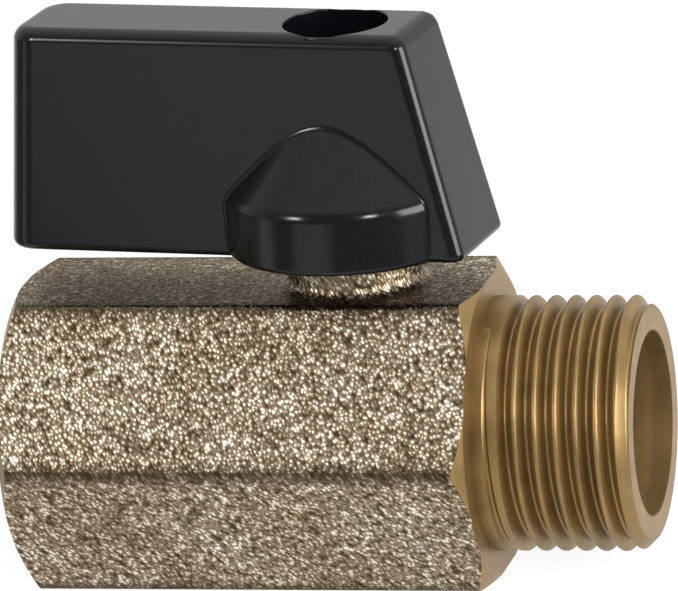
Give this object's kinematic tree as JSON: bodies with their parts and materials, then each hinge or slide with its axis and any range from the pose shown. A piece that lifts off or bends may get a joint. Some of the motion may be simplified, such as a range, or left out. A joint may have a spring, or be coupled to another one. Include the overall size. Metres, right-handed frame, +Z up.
{
  "type": "mini ball valve",
  "caption": "Small quarter-turn ball valve with a hexagon body, a female and a male pipe thread in line, and a moulded lever on the stem that opens and shuts the flow.",
  "frame": {"origin": "centre of the female thread's mouth, on the flow axis", "axes": "+X along the flow from the female mouth to the male end, +Z up the stem towards the lever, +Y to the left looking along the flow"},
  "size_m": [0.0421, 0.0224, 0.037],
  "materials": {
    "plated_body": "sand-blasted nickel plate on brass, bare on the machined end",
    "bare_brass": "machined",
    "plated_ball": "polished",
    "seat_plastic": "smooth, slightly waxy",
    "seal_rubber": "matt",
    "lever_plastic": "glossy, moulded",
    "screw_steel": "zinc plated"
  },
  "bodies": {
    "housing": {"valve_body": "plated_body", "retaining_ring": "bare_brass", "inlet_seat": "seat_plastic", "outlet_seat": "seat_plastic"},
    "turning_set": {"ball": "plated_ball", "stem": "bare_brass", "stem_washer": "seat_plastic", "lower_stem_seal": "seal_rubber", "upper_stem_seal": "seal_rubber", "lever": "lever_plastic", "lever_screw": "screw_steel"}
  },
  "joints": [
    {"name": "lever_turn", "type": "hinge", "parent": "housing", "child": "turning_set", "pos_m": [0.02235, 0, 0], "axis": [0, 0, -1], "range_deg": [-6.9, 83.1]}
  ]
}
